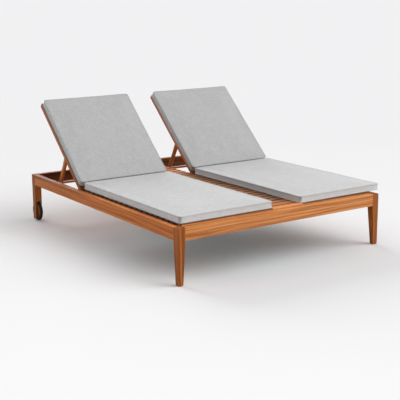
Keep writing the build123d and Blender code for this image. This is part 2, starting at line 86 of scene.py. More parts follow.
# %% Directions
BACK_ANGLE = radians(42.8)
PROP_ANGLE = radians(61.0)
ACROSS = Vector((1, 0, 0))
LENGTHWISE = Vector((0, 1, 0))
UPRIGHT = Vector((0, 0, 1))
UP_BACK = Vector((0, cos(BACK_ANGLE), sin(BACK_ANGLE)))
OUT_OF_BACK = Vector((0, -sin(BACK_ANGLE), cos(BACK_ANGLE)))
DOWN_PROP = Vector((0, cos(PROP_ANGLE), -sin(PROP_ANGLE)))
OUT_OF_PROP = Vector((0, sin(PROP_ANGLE), cos(PROP_ANGLE)))
print(f"a backrest rises {UP_BACK.z:.3f} m for each metre of its length")


# %% [markdown]
# ## A short way to write a finish
# A finish in Blender is a graph of shader nodes. It could be wired by hand in the shader editor,
# or node by node in Python, which takes several lines for each. A small class that adds a node,
# fills its inputs and hands back its output keeps the recipes below short enough to read.

# %% Add, fill and link nodes
class Finish:
    """A material in the making. Each call adds a node and returns its output."""

    def __init__(self, name):
        self.mat = bpy.data.materials.new(name)
        self.mat.use_nodes = True
        self.tree = self.mat.node_tree
        self.shader = self.tree.nodes["Principled BSDF"]

    def add(self, kind, inputs=(), **settings):
        node = self.tree.nodes.new(kind)
        for key, value in settings.items():
            setattr(node, key, value)
        for key, value in dict(inputs).items():
            self.put(node.inputs[key], value)
        return node

    def put(self, socket, value):
        if isinstance(value, bpy.types.NodeSocket):
            self.tree.links.new(value, socket)
        else:
            socket.default_value = value

    def surface(self, **values):
        for key, value in values.items():
            self.put(self.shader.inputs[key.replace("_", " ")], value)


trial = Finish("trial")
empty = len(trial.tree.nodes)
print(f"a new finish starts with {empty} nodes")
bpy.data.materials.remove(trial.mat)


# %% [markdown]
# A pattern is arithmetic on a place. The recipes share these few steps: measure the place along
# the piece's own directions, stretch it, ask a noise for a value there, and turn the value into
# a colour, a roughness or a height. Noise is used and not pictures, so that nothing repeats and
# no piece needs unwrapping.

# %% Measure, stretch, mix and colour
class Recipe(Finish):
    """A finish with the arithmetic that the patterns need."""

    def math(self, operation, a, b=0.0):
        return self.add("ShaderNodeMath", {0: a, 1: b}, operation=operation).outputs[0]

    def local(self, *axes):
        """The place on the object, measured along each of the given directions."""
        place = self.add("ShaderNodeTexCoord").outputs["Object"]
        return [self.add("ShaderNodeVectorMath", {0: place, 1: tuple(axis)},
                         operation="DOT_PRODUCT").outputs["Value"] for axis in axes]

    def vector(self, parts, scales):
        scaled = [self.math("MULTIPLY", part, scale) for part, scale in zip(parts, scales)]
        return self.add("ShaderNodeCombineXYZ", dict(enumerate(scaled))).outputs[0]

    def noise(self, vector, scale=1.0, detail=3.0, roughness=0.5):
        inputs = {"Vector": vector, "Scale": scale, "Detail": detail, "Roughness": roughness}
        return self.add("ShaderNodeTexNoise", inputs).outputs[0]

    def ramp(self, factor, stops):
        node = self.add("ShaderNodeValToRGB", {"Fac": factor})
        elements = node.color_ramp.elements
        while len(elements) < len(stops):
            elements.new(0.5)
        for element, (place, colour) in zip(elements, stops):
            element.position = place
            element.color = (*colour, 1.0)
        return node.outputs["Color"]

    def remap(self, value, low, high, to_low, to_high):
        inputs = {"Value": value, "From Min": low, "From Max": high,
                  "To Min": to_low, "To Max": to_high}
        return self.add("ShaderNodeMapRange", inputs).outputs[0]

    def tone(self, colour, value):
        inputs = {"Color": colour, "Value": value}
        return self.add("ShaderNodeHueSaturation", inputs).outputs["Color"]

    def bump(self, height, strength, distance):
        inputs = {"Height": height, "Strength": strength, "Distance": distance}
        return self.add("ShaderNodeBump", inputs).outputs["Normal"]


trial = Recipe("trial")
trial.noise(trial.vector(trial.local(ACROSS, LENGTHWISE, UPRIGHT), (1.0, 1.0, 1.0)))
print(f"one noise along three directions takes {len(trial.tree.nodes) - empty} nodes")
bpy.data.materials.remove(trial.mat)


# %% [markdown]
# ## Oiled teak
# The frame is solid teak, golden to red brown. Long streaks run along each board over slower
# bands of growth, and fine open pores break the shine of the oil. A noise that changes slowly
# along the grain and fast across it draws just such lines, so three of them are laid over each
# other: wide for the bands, narrow for the streaks, and very fine for the pores. A slow drift
# bends the lines, because no tree grows straight.

# %% Grain of the wood
BOARD_SHIFT = 7.0
GRAIN_DRIFT = 0.05
DRIFT_SIZES = (1.3, 7.0, 7.0)
BAND_SIZES = (0.9, 62.0, 48.0)
STREAK_SIZES = (5.0, 330.0, 330.0)
PORE_SIZES = (38.0, 1500.0, 1500.0)


def teak_grain(wood, grain, side, face, own):
    """The bands, streaks and pores of a board, moved along by a number of its own."""
    along, across, through = wood.local(grain, side, face)
    moved = wood.math("ADD", along, wood.math("MULTIPLY", own, BOARD_SHIFT))
    drift = wood.noise(wood.vector((moved, across, through), DRIFT_SIZES), detail=2.0)
    bent = wood.math("ADD", across, wood.math("MULTIPLY", drift, GRAIN_DRIFT))
    bands = wood.noise(wood.vector((moved, bent, through), BAND_SIZES), detail=4.0, roughness=0.6)
    streaks = wood.noise(wood.vector((moved, bent, through), STREAK_SIZES), detail=3.0)
    pores = wood.noise(wood.vector((moved, across, through), PORE_SIZES), detail=1.0)
    return bands, streaks, pores


print(f"a streak is about {1000 / STREAK_SIZES[1]:.0f} mm wide and {1000 / STREAK_SIZES[0]:.0f} mm long")


# %% [markdown]
# No two boards match. Object Info gives each object a number of its own, which moves its grain
# and sets its tone. The slats of a deck share one mesh, so there the number comes from how many
# slat pitches lie before the place.

# %% A number for each board
def board_number(wood, boards):
    """A number between 0 and 1 for each object, or for each board of a shared mesh."""
    if not boards:
        return wood.add("ShaderNodeObjectInfo").outputs["Random"]
    axis, pitch = boards
    place = wood.math("DIVIDE", wood.local(axis)[0], pitch)
    return wood.add("ShaderNodeTexWhiteNoise", {"W": wood.math("FLOOR", place)},
                    noise_dimensions="1D").outputs["Value"]


trial = Recipe("trial")
board_number(trial, (LENGTHWISE, 0.05))
print(f"telling the boards of one mesh apart takes {len(trial.tree.nodes) - empty} nodes")
bpy.data.materials.remove(trial.mat)


# %% [markdown]
# Some places are darker or lighter than the lamps alone make them: the gaps between slats, the
# wood beside a cushion, faces that the light hardly reaches, and the open tops of the rails.
# Small lamps could be hidden there, or the colour could be painted by hand. Here the shade and
# the highlight are painted into the colour: a shade is a factor with the bounds of where it
# holds, and each bound is a direction with where it starts and where it is full.

# %% Shades with bounds
def past(axis, place, softness):
    """Holds beyond a place along a direction, after a soft start."""
    return axis, place, place + softness


def before(axis, place, softness):
    """Holds before a place along a direction."""
    return -axis, -place, softness - place


def shaded(wood, level, shades):
    """Multiplies a level by each shade's factor where all of the shade's bounds hold."""
    for factor, *bounds in shades:
        inside = 1.0
        for axis, start, full in bounds:
            within = wood.remap(wood.local(axis)[0], start, full, 0.0, 1.0)
            inside = wood.math("MULTIPLY", inside, within)
        level = wood.math("MULTIPLY", level, wood.remap(inside, 0.0, 1.0, 1.0, factor))
    return level


print(f"a bound past 0.30 m with 0.01 m of softness is full at {past(UPRIGHT, 0.30, 0.01)[2]:.2f} m")


# %% [markdown]
# The colours run from the dark late wood to the pale early wood. The foot rail and the slats of
# the real lounger are of paler boards than the rest, so there are two sets. The figure of bands
# and streaks picks the colour, the pores darken it a little, and the streaks are also a slight
# relief that the light catches.

# %% Teak
TEAK = ((0.200, 0.048, 0.004), (0.425, 0.114, 0.011), (0.640, 0.205, 0.040))
PALE_TEAK = ((0.350, 0.100, 0.022), (0.640, 0.230, 0.062), (0.820, 0.370, 0.135))
TONE_PLACES = (0.37, 0.50, 0.64)
BAND_SHARE = 0.72
BOARD_TONES = (0.90, 1.10)
PORE_EDGE = (0.30, 0.42)
PORE_TONES = (0.80, 1.0)
NOISE_RANGE = (0.3, 0.7)
OIL_SHINE = (0.46, 0.62)
GRAIN_RELIEF = 0.0006


def teak(name, grain, side, face, value=1.0, boards=None, shades=(), tones=TEAK):
    """Oiled teak whose grain runs one way, and which is lighter or darker by a value."""
    wood = Recipe(name)
    own = board_number(wood, boards)
    bands, streaks, pores = teak_grain(wood, grain, side, face, own)
    figure = wood.math("ADD", wood.math("MULTIPLY", bands, BAND_SHARE),
                       wood.math("MULTIPLY", streaks, 1 - BAND_SHARE))
    colour = wood.ramp(figure, tuple(zip(TONE_PLACES, tones)))
    level = wood.math("MULTIPLY", wood.remap(own, 0.0, 1.0, *BOARD_TONES), value)
    level = shaded(wood, level, shades)
    dark_pores = wood.remap(pores, *PORE_EDGE, *PORE_TONES)
    height = wood.math("ADD", wood.math("MULTIPLY", streaks, 0.6), wood.math("MULTIPLY", pores, 0.4))
    wood.surface(Base_Color=wood.tone(colour, wood.math("MULTIPLY", dark_pores, level)),
                 Roughness=wood.remap(streaks, *NOISE_RANGE, *OIL_SHINE),
                 Specular_IOR_Level=0.17,
                 Normal=wood.bump(height, 0.25, GRAIN_RELIEF))
    print(f"{name}: {len(wood.tree.nodes)} nodes, {len(shades)} shades")
    return wood.mat


# %% [markdown]
# ## Rails and legs
# The rails are boards on edge and the legs are square posts, so each needs its grain turned to
# its own length. Where the rails' tops lie in the open at the foot end, a painted highlight makes
# them paler, and behind the backrests they get a painted shade. Their inner faces, which lie in
# the dark below the deck, get a painted shade too. Each of these is a bound or two, measured
# from the boards' own sizes.

# %% Bounds on the rails
TOP_SKIN = 0.002
FACE_SKIN = 0.001
FACE_EDGE = 0.0006

rail_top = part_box("side_rail_left")[1].z
top_face = past(UPRIGHT, rail_top - TOP_SKIN, 0.0015)
# painted highlight: the rail tops at the foot end are made paler where light falls on them
painted_top_highlight = (1.35, top_face, before(LENGTHWISE, 0.3, 0.6))
# painted shade on the rail tops behind the backrests
behind_backs = (0.66, top_face, past(LENGTHWISE, 0.2, 0.4))
# painted shade on the inner faces of the rails, which lie in the dark below the deck
foot_face = (0.5, past(LENGTHWISE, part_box("foot_rail")[1].y - FACE_SKIN, FACE_EDGE))
head_face = (0.24, before(LENGTHWISE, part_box("head_rail")[0].y + FACE_SKIN, FACE_EDGE))
left_face = (0.6, past(ACROSS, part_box("side_rail_left")[1].x - FACE_SKIN, FACE_EDGE),
             before(ACROSS, 0.0, 0.1))
right_face = (0.6, before(ACROSS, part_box("side_rail_right")[0].x + FACE_SKIN, FACE_EDGE),
              past(ACROSS, 0.0, 0.1))
print(f"the rails' tops lie at {rail_top:.3f} m")


# %% [markdown]
# The boards could be modelled again for the picture, but the CAD solids already have the real
# joints and softened edges. So they keep their points and faces, and only their list of
# materials changes. The foot rail is the palest board of the real lounger, and the legs are
# darker.

# %% Dress the rails and legs
def dress(material, *names):
    """Puts one material on CAD nodes without touching their shapes."""
    for name in names:
        mesh = NODES[name].data
        mesh.materials.clear()
        mesh.materials.append(material)
    print(f"{material.name} on {len(names)} nodes")


foot_teak = teak("teak_foot_rail", ACROSS, UPRIGHT, LENGTHWISE, 0.80,
                 shades=(painted_top_highlight, foot_face), tones=PALE_TEAK)
head_teak = teak("teak_head_rail", ACROSS, UPRIGHT, LENGTHWISE, shades=(painted_top_highlight, head_face))
side_teak = teak("teak_side_rails", LENGTHWISE, UPRIGHT, ACROSS,
                 shades=(painted_top_highlight, behind_backs, left_face, right_face))
leg_teak = teak("teak_legs", UPRIGHT, ACROSS, LENGTHWISE, 0.60)
dress(foot_teak, "foot_rail")
dress(head_teak, "head_rail")
dress(side_teak, "side_rail_left", "side_rail_right")
dress(leg_teak, "front_leg_left", "front_leg_right", "rear_leg_left", "rear_leg_right")

# %% [markdown]
# ## Slats and what carries them
# The deck is a row of slats across the lounger. The cushions cover most of it, and the strip
# between them shows. Its gaps get a painted shade that is almost black, and a painted shadow
# darkens the strip towards the right cushion, which keeps the light off it. The slat tops just
# under the cushions' edges and the slats' undersides get a painted shade too. Below the deck the
# beams, ledges, racks and corner blocks are of a darker finish, a painted shade, because little
# light comes there.

# %% Bounds on the deck
SLAT_PITCH = 0.0624
FRONT_FACE = 0.010
deck_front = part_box("seat_slats")[0].y
deck_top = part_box("seat_slats")[1].z
deck_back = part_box("seat_cushion_left")[1].y
strip_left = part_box("seat_cushion_left")[1].x
strip_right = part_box("seat_cushion_right")[0].x
near_top = past(UPRIGHT, deck_top - 0.011, 0.002)
# painted shade in the gaps between the slats
in_gaps = (0.07, near_top, before(UPRIGHT, deck_top - 0.0004, 0.0012),
           past(LENGTHWISE, deck_front + FRONT_FACE, FRONT_FACE))
# painted shade on the slats' undersides
shaded_underside = (0.45, before(UPRIGHT, deck_top - 0.010, 0.002))
# painted shadow of the right cushion on the strip between the cushions
beside_cushion = (0.26, near_top, past(ACROSS, strip_right - 0.22, 0.18),
                  past(LENGTHWISE, deck_front + 0.04, 0.16),
                  before(LENGTHWISE, deck_back + 0.1, 0.1))
# painted shade on the slat tops that peek out under the cushions' edges
below_pads = past(UPRIGHT, deck_top - 0.006, 0.002)
under_right = (0.24, below_pads, past(ACROSS, strip_right + 0.008, 0.006))
under_left = (0.24, below_pads, before(ACROSS, strip_left - 0.008, 0.006))
print(f"the strip between the cushions is {strip_right - strip_left:.3f} m wide, at {deck_top:.3f} m")

# %% [markdown]
# The slats under the cushions and those of the strip are one deck, so they share one finish with
# all the painted shades. What carries them is hardly seen, and one finish darkened as a painted
# shade, without bounds, is enough.

# %% Dress the deck and its beams
deck_teak = teak("teak_slats", ACROSS, LENGTHWISE, UPRIGHT, 0.95, (LENGTHWISE, SLAT_PITCH),
                 (in_gaps, shaded_underside, beside_cushion, under_right, under_left), PALE_TEAK)
# a darker copy of the teak, as painted shade for the hidden parts below the deck
shaded_inner_teak = teak("teak_beams", LENGTHWISE, UPRIGHT, ACROSS, 0.45)
dress(deck_teak, "centre_slats", "seat_slats")
dress(shaded_inner_teak, "centre_beam_left", "centre_beam_right", "seat_ledger_left", "seat_ledger_right",
      "rack_left_outer", "rack_left_inner", "rack_right_inner", "rack_right_outer",
      "corner_blocks_front", "corner_blocks_rear")

# %% [markdown]
# ## Backrests and props
# Each backrest is a frame of two stiles and two cross rails with slats behind the pad, and a
# folding prop of two waisted struts and a round foot bar holds it up. Their grain has to lean
# with them, so they get the leaning directions. The stiles get a painted shade along their front,
# beside the pad.

# %% Dress the backrests, props and wheel discs
SIDES = ("left", "right")
back_face = min(v.co.dot(OUT_OF_BACK) for v in NODES["back_left_cushion"].data.vertices)
# painted shade on the stiles' front, beside the pad
beside_pad = (0.30, past(OUT_OF_BACK, back_face - 0.016, 0.004))
stile_teak = teak("teak_stiles", UP_BACK, OUT_OF_BACK, ACROSS, 0.9, shades=(beside_pad,))
back_rail_teak = teak("teak_back_rails", ACROSS, UP_BACK, OUT_OF_BACK)
back_slat_teak = teak("teak_back_slats", ACROSS, UP_BACK, OUT_OF_BACK, 1.0, (UP_BACK, SLAT_PITCH))
prop_teak = teak("teak_props", DOWN_PROP, OUT_OF_PROP, ACROSS, 0.85)
bar_teak = teak("teak_foot_bars", ACROSS, LENGTHWISE, UPRIGHT)
disc_teak = teak("teak_wheel_discs", LENGTHWISE, UPRIGHT, ACROSS, 0.5)
dress(stile_teak, *(f"back_{side}_stile_{edge}" for side in SIDES for edge in ("outer", "inner")))
dress(back_rail_teak, *(f"back_{side}_{end}_rail" for side in SIDES for end in ("top", "bottom")))
dress(back_slat_teak, *(f"back_{side}_slats" for side in SIDES))
dress(prop_teak, *(f"prop_{side}_strut_{edge}" for side in SIDES for edge in ("outer", "inner")))
dress(bar_teak, *(f"prop_{side}_foot_bar" for side in SIDES))
dress(disc_teak, *(f"wheel_{side}_disc" for side in SIDES))


# %% [markdown]
# ## Tyres
# The wheels have black rubber tyres, dusty from a terrace. Rubber is never quite black: a soft
# noise mixes two near blacks for scuffs, and a fine one makes the dust, which is rougher than
# the rubber and stands up a little.

# %% Rubber
DUST_SCALE = 240.0
SCUFF_SCALE = 22.0
RUBBER_BLACKS = ((0.35, (0.007, 0.006, 0.005)), (0.75, (0.020, 0.017, 0.015)))


def rubber():
    tyre = Recipe("tyre_rubber")
    place = tyre.vector(tyre.local(ACROSS, LENGTHWISE, UPRIGHT), (1.0, 1.0, 1.0))
    dust = tyre.noise(place, scale=DUST_SCALE, detail=5.0)
    scuffs = tyre.noise(place, scale=SCUFF_SCALE, detail=3.0)
    tyre.surface(Base_Color=tyre.ramp(scuffs, RUBBER_BLACKS),
                 Roughness=tyre.remap(dust, *NOISE_RANGE, 0.62, 0.85),
                 Specular_IOR_Level=0.2,
                 Normal=tyre.bump(dust, 0.2, 0.0004))
    return tyre.mat


dress(rubber(), *(f"wheel_{side}_tyre" for side in SIDES))


# %% [markdown]
# ## Bolts, axles and glides
# The hinge bolts, spacers and axles are stainless steel, turned on a lathe. Turning leaves fine
# rings round the bar, so the noise changes fast along X, the axis of every bolt here. The glides
# under the front legs and the bushes in the wheels are black nylon with a fine moulded grain.

# %% Steel and nylon
RING_SIZES = (2200.0, 160.0, 160.0)
STEEL_GREYS = ((0.3, (0.42, 0.42, 0.43)), (0.7, (0.66, 0.66, 0.67)))
MOULD_GRAIN = 900.0
NYLON_BLACKS = ((0.3, (0.020, 0.020, 0.021)), (0.7, (0.034, 0.034, 0.035)))


def steel():
    metal = Recipe("bolt_steel")
    places = metal.local(ACROSS, LENGTHWISE, UPRIGHT)
    rings = metal.noise(metal.vector(places, RING_SIZES), detail=2.0)
    metal.surface(Base_Color=metal.ramp(rings, STEEL_GREYS), Metallic=1.0,
                  Roughness=metal.remap(rings, *NOISE_RANGE, 0.26, 0.42),
                  Normal=metal.bump(rings, 0.1, 0.0002))
    return metal.mat


def nylon():
    plastic = Recipe("glide_plastic")
    places = plastic.local(ACROSS, LENGTHWISE, UPRIGHT)
    grain = plastic.noise(plastic.vector(places, (1.0, 1.0, 1.0)), scale=MOULD_GRAIN, detail=2.0)
    plastic.surface(Base_Color=plastic.ramp(grain, NYLON_BLACKS),
                    Roughness=plastic.remap(grain, *NOISE_RANGE, 0.42, 0.56),
                    Normal=plastic.bump(grain, 0.15, 0.0002))
    return plastic.mat


dress(steel(), "hinge_bolts", "hinge_spacers", "wheel_axles",
      *(f"back_{side}_pivot_bolts" for side in SIDES))
dress(nylon(), "front_glides", *(f"wheel_{side}_bush" for side in SIDES))


# %% [markdown]
# ## The cushions' cloth
# The cushions are covered in pale grey outdoor cloth, a plain weave of uneven mixed yarns. Up
# close one sees single yarns, from a metre off soft slubs, and from afar an even grey. So the
# pattern has all three scales. Sines across each other make the weave, stretched noises make
# the yarns and the thicker slubs, and a broad noise clouds the whole.

# %% Yarns and weave
YARN_PITCH = 0.0026
WEFT_SIZES = (60.0, 900.0, 900.0)
WARP_SIZES = (900.0, 60.0, 900.0)
WEFT_SLUB_SIZES = (14.0, 210.0, 210.0)
WARP_SLUB_SIZES = (210.0, 14.0, 210.0)


def yarn_pattern(cloth, places):
    """The weave's relief, the yarns, and the slubs, from the places along three directions."""
    rows = [cloth.math("SINE", cloth.math("MULTIPLY", part, 2 * pi / YARN_PITCH)) for part in places]
    on_faces = cloth.math("MULTIPLY", rows[0], rows[1])
    on_sides = cloth.math("MULTIPLY", rows[2], cloth.math("ADD", rows[0], rows[1]))
    weave = cloth.math("ADD", on_faces, on_sides)
    weft = cloth.noise(cloth.vector(places, WEFT_SIZES), detail=1.0)
    warp = cloth.noise(cloth.vector(places, WARP_SIZES), detail=1.0)
    yarns = cloth.math("MULTIPLY", cloth.math("ADD", weft, warp), 0.5)
    weft_slubs = cloth.noise(cloth.vector(places, WEFT_SLUB_SIZES), detail=2.0)
    warp_slubs = cloth.noise(cloth.vector(places, WARP_SLUB_SIZES), detail=2.0)
    return weave, yarns, cloth.math("ADD", weft_slubs, warp_slubs)


print(f"a yarn of the weave is {500 * YARN_PITCH:.1f} mm wide")

# %% [markdown]
# A cushion isn't one grey all over. Its lowest few millimetres get a painted shade where it meets
# the slats, and so do its corners and the cloth below its upper seam. That shade follows the
# shape, so it is read from an attribute that is written on the mesh once it is filled. The back
# cushions' cloth is made darker than the seats' as a painted shade, because their leaning faces
# get less light.

# %% Woven cloth
SEAT_GREY = 0.52
# the back cloth is made darker than the seat cloth as a painted shade
SHADED_BACK_GREY = 0.405
CLOUD_SIZES = (24.0, 24.0, 24.0)
YARN_RANGE = (0.35, 0.65)
SLUB_RANGE = (0.7, 1.3)
WEAVE_SHADE = 0.035
# painted shade along the lowest few millimetres, where the cushion meets the slats
BASE_SHADE_HEIGHT = 0.005
BASE_SHADE = 0.80
FOLD_SHADE = 0.45


def fabric(name, along, out, underside, grey):
    """Woven cloth along a cushion, whose underside lies at a height along its out direction."""
    cloth = Recipe(name)
    places = cloth.local(ACROSS, along, out)
    weave, yarns, slubs = yarn_pattern(cloth, places)
    cloud = cloth.noise(cloth.vector(places, CLOUD_SIZES), detail=4.0)
    level = cloth.math("ADD", cloth.remap(yarns, *YARN_RANGE, 0.90, 1.10),
                       cloth.remap(cloud, *NOISE_RANGE, -0.03, 0.03))
    level = cloth.math("ADD", level, cloth.remap(slubs, *SLUB_RANGE, -0.07, 0.07))
    level = cloth.math("ADD", level, cloth.math("MULTIPLY", weave, WEAVE_SHADE))
    # painted shade at the bottom of the cushion
    base_shade = cloth.remap(places[2], underside, underside + BASE_SHADE_HEIGHT, BASE_SHADE, 1.0)
    # painted shade in the corners and below the upper seam, read from the mesh
    painted_fold_shade = cloth.add("ShaderNodeAttribute", attribute_name="painted_fold_shade").outputs["Fac"]
    level = cloth.math("MULTIPLY", level, base_shade)
    level = cloth.math("MULTIPLY", level, cloth.remap(painted_fold_shade, 0.0, 1.0, 1.0, FOLD_SHADE))
    greys = ((0.36, (grey * 0.93, grey * 0.935, grey * 0.94)), (0.62, (grey * 1.05,) * 3))
    cloth.surface(Base_Color=cloth.tone(cloth.ramp(yarns, greys), level),
                  Roughness=0.92, Specular_IOR_Level=0.18, Sheen_Weight=0.25, Sheen_Roughness=0.6,
                  Normal=cloth.bump(cloth.math("ADD", weave, yarns), 0.35, 0.0004))
    return cloth.mat


seat_cloth = fabric("cloth_seat", LENGTHWISE, UPRIGHT, deck_top, SEAT_GREY)
back_cloth = fabric("cloth_back", UP_BACK, OUT_OF_BACK, back_face, SHADED_BACK_GREY)
print(f"seat cloth from {deck_top:.3f} m up, back cloth from {back_face:.3f} m out")


# %% [markdown]
# The seams are sewn with a slightly darker thread of twisted plies. At this size a fine noise
# is enough for the twist.

# %% Sewing thread
PLY_SIZES = (1400.0, 1400.0, 1400.0)
THREAD_GREYS = ((0.3, (0.30, 0.30, 0.31)), (0.7, (0.46, 0.46, 0.47)))


def sewing_thread():
    thread = Recipe("sewing_thread")
    places = thread.local(ACROSS, LENGTHWISE, UPRIGHT)
    plies = thread.noise(thread.vector(places, PLY_SIZES), detail=2.0)
    thread.surface(Base_Color=thread.ramp(plies, THREAD_GREYS),
                   Roughness=thread.remap(plies, *NOISE_RANGE, 0.6, 0.8),
                   Normal=thread.bump(plies, 0.3, 0.0002))
    return thread.mat


seam_thread = sewing_thread()
print(f"made {seam_thread.name}")


# %% [markdown]
# ## Plan of a cushion
# The real cushion is boxed: a top panel, a bottom panel and a side band, sewn together along two
# seams. It could be a rounded box, but that looks like foam rubber. A sewn box that is filled
# swells in its middle and is held at its seams, which is what the eye knows as a cushion. So it
# starts as flat cloth in cells, with round corners, and with sides that draw in between them.

# %% Plan of a cushion
CELL = 0.016
SIDE_ROWS = 4
BORDER = 0.042
CORNER = 0.014
WAIST = 0.0020


class PadPlan:
    """Where a cushion lies, and where each corner of its cells of cloth goes."""

    def __init__(self, base, out, along, width, length):
        self.base = base
        self.out = out
        self.along = along
        self.half = width / 2
        self.length = length
        self.across_count = round(width / CELL)
        self.along_count = round(length / CELL)

    def round_corner(self, u, v):
        """Moves a place so that the pad's plan has round corners."""
        du = self.half - abs(u)
        dv = self.length / 2 - abs(v - self.length / 2)
        if du < CORNER and dv < CORNER:
            a = 1 - du / CORNER
            b = 1 - dv / CORNER
            scale = max(a, b) / max((a * a + b * b) ** 0.5, 1e-6)
            end = 1 if v > self.length / 2 else -1
            u = (1 if u > 0 else -1) * (self.half - CORNER + a * scale * CORNER)
            v = self.length / 2 + end * (self.length / 2 - CORNER + b * scale * CORNER)
        return u, v

    def point(self, i, j, k):
        """The place of a cell's corner: i across, j along and k rows up the side band."""
        u, v = self.round_corner(-self.half + 2 * self.half * i / self.across_count,
                                 self.length * j / self.along_count)
        waist_u = WAIST * (1 - abs(2 * v / self.length - 1) ** 4)
        waist_v = WAIST * (1 - abs(u / self.half) ** 4)
        u *= 1 - waist_u / self.half
        v = self.length / 2 + (v - self.length / 2) * (1 - waist_v / (self.length / 2))
        return self.base + ACROSS * u + self.along * v + self.out * (BORDER * k / SIDE_ROWS)

    def border(self):
        """The cells' corners round the edge of the plan, in order."""
        path = [(i, 0) for i in range(self.across_count)]
        path += [(self.across_count, j) for j in range(self.along_count)]
        path += [(i, self.along_count) for i in range(self.across_count, 0, -1)]
        return path + [(0, j) for j in range(self.along_count, 0, -1)]


print(f"cloth in cells of {CELL * 1000:.0f} mm, side band {BORDER * 1000:.0f} mm high")


# %% [markdown]
# Cutting the cloth is building a mesh from lists. Panels and band share the points along their
# seams, so the shell is closed. The two closed lines of points where panel meets band are kept,
# because piping and stitches follow them later.

# %% Cut the cloth
def cut_cloth(name, plan):
    """The sewn box as a mesh, its two seams as rows of points, and each point's cell corner."""
    verts = []
    faces = []
    index = {}

    def vertex(i, j, k):
        if (i, j, k) not in index:
            index[(i, j, k)] = len(verts)
            verts.append(plan.point(i, j, k))
        return index[(i, j, k)]

    for j in range(plan.along_count):
        for i in range(plan.across_count):
            cell = ((i, j), (i + 1, j), (i + 1, j + 1), (i, j + 1))
            faces.append([vertex(a, b, SIDE_ROWS) for a, b in cell])
            faces.append([vertex(a, b, 0) for a, b in reversed(cell)])
    edge = plan.border()
    for k in range(SIDE_ROWS):
        for (a, b), (c, d) in zip(edge, edge[1:] + edge[:1]):
            faces.append([vertex(a, b, k), vertex(c, d, k), vertex(c, d, k + 1), vertex(a, b, k + 1)])
    mesh = bpy.data.meshes.new(name)
    mesh.from_pydata(verts, [], faces)
    mesh.validate()
    seams = [[index[(a, b, k)] for a, b in edge] for k in (0, SIDE_ROWS)]
    print(f"{name}: {len(verts)} points of cloth, {len(edge)} of them on each seam")
    return mesh, seams, index


# %% [markdown]
# ## Filling
# Blender's cloth simulation can blow air into a closed shell. Left alone it makes a balloon,
# and the real fill is a firm slab of foam with a soft wrap. So each point may only move as far
# as its own limit: hardly at the seams, more on the band, and most in the middle of a panel.

# %% How far each point may swell
TOP_SWELL = 0.0085
SIDE_SWELL = 0.0045
SEAM_SWELL = 0.0012
CELLS_TO_FULL_SWELL = 9


def smooth(value):
    """Goes from 0 to 1 with no corner at either end."""
    value = min(max(value, 0.0), 1.0)
    return value * value * (3 - 2 * value)


def swell_limits(plan, index):
    """How far each point of the cloth may move when it is filled."""
    limits = []
    for i, j, k in sorted(index, key=index.get):
        cells_in = min(i, plan.across_count - i, j, plan.along_count - j)
        if cells_in == 0:
            limits.append(SEAM_SWELL + (SIDE_SWELL - SEAM_SWELL) * sin(pi * k / SIDE_ROWS))
        else:
            inner = smooth(cells_in / CELLS_TO_FULL_SWELL)
            limits.append(SEAM_SWELL + (TOP_SWELL - SEAM_SWELL) * inner)
    return limits


print(f"a panel may swell {TOP_SWELL * 1000:.1f} mm, a side {SIDE_SWELL * 1000:.1f} mm")

# %% [markdown]
# The simulation runs for twenty frames with the air pressure on and gravity off. Then the moved
# points are read, the modifier is taken off, and each point takes its step, cut to its limit.
# The pressure is high enough to bring all of them there, so the simulation gives the directions
# and the limits give the amounts. Nothing in it is random, so every run gives the same cushion.

# %% Fill the cloth
FILL_PRESSURE = 4.0
FILL_FRAMES = 20
CLOTH_STIFFNESS = 15


def inflate(piece, limits):
    """Fills the cloth with pressure, then keeps each point within its own limit."""
    before_filling = [v.co.copy() for v in piece.data.vertices]
    cloth = piece.modifiers.new("fill", "CLOTH")
    settings = cloth.settings
    settings.quality = 5
    settings.mass = 0.3
    settings.tension_stiffness = CLOTH_STIFFNESS
    settings.compression_stiffness = CLOTH_STIFFNESS
    settings.shear_stiffness = 5
    settings.bending_stiffness = 0.5
    settings.use_pressure = True
    settings.uniform_pressure_force = FILL_PRESSURE
    settings.effector_weights.gravity = 0.0
    cloth.collision_settings.use_collision = False
    cloth.point_cache.frame_start = 1
    cloth.point_cache.frame_end = FILL_FRAMES
    for step in range(1, FILL_FRAMES + 1):
        bpy.context.scene.frame_set(step)
    graph = bpy.context.evaluated_depsgraph_get()
    filled = bpy.data.meshes.new_from_object(piece.evaluated_get(graph))
    after_filling = [v.co.copy() for v in filled.vertices]
    piece.modifiers.remove(cloth)
    bpy.data.meshes.remove(filled)
    bpy.context.scene.frame_set(1)
    held = 0
    for vertex, old, new, limit in zip(piece.data.vertices, before_filling, after_filling, limits):
        step = new - old
        if step.length > limit:
            step *= limit / step.length
            held += 1
        vertex.co = old + step
    print(f"{piece.name}: filled, {held} of {len(limits)} points held by their limit")


# %% [markdown]
# A filled cushion that has been sat on is never quite even. A broad noise moves the cloth in
# and out by a couple of millimetres, most on the long sides, where the band ripples. The
# underside is then laid flat again, because it rests on the slats.

# %% Uneven filling and a flat underside
WAVE = 0.0022
WAVE_SIZE = 11.0


def ruffle(mesh):
    """Long shallow waves, deepest on the band along the cushion's sides."""
    mesh.update()
    moves = [v.normal * (noise.noise(v.co * WAVE_SIZE) * (WAVE if abs(v.normal.x) > 0.5 else WAVE / 2))
             for v in mesh.vertices]
    for vertex, move in zip(mesh.vertices, moves):
        vertex.co += move
    print(f"{mesh.name}: waves up to {max(move.length for move in moves) * 1000:.1f} mm")


def lay_flat(mesh, plan):
    """Lifts what hangs below the plane that the cushion lies on."""
    middle = plan.base + plan.along * (plan.length / 2)
    for vertex in mesh.vertices:
        vertex.co += plan.out * max(0.0, -(vertex.co - middle).dot(plan.out))


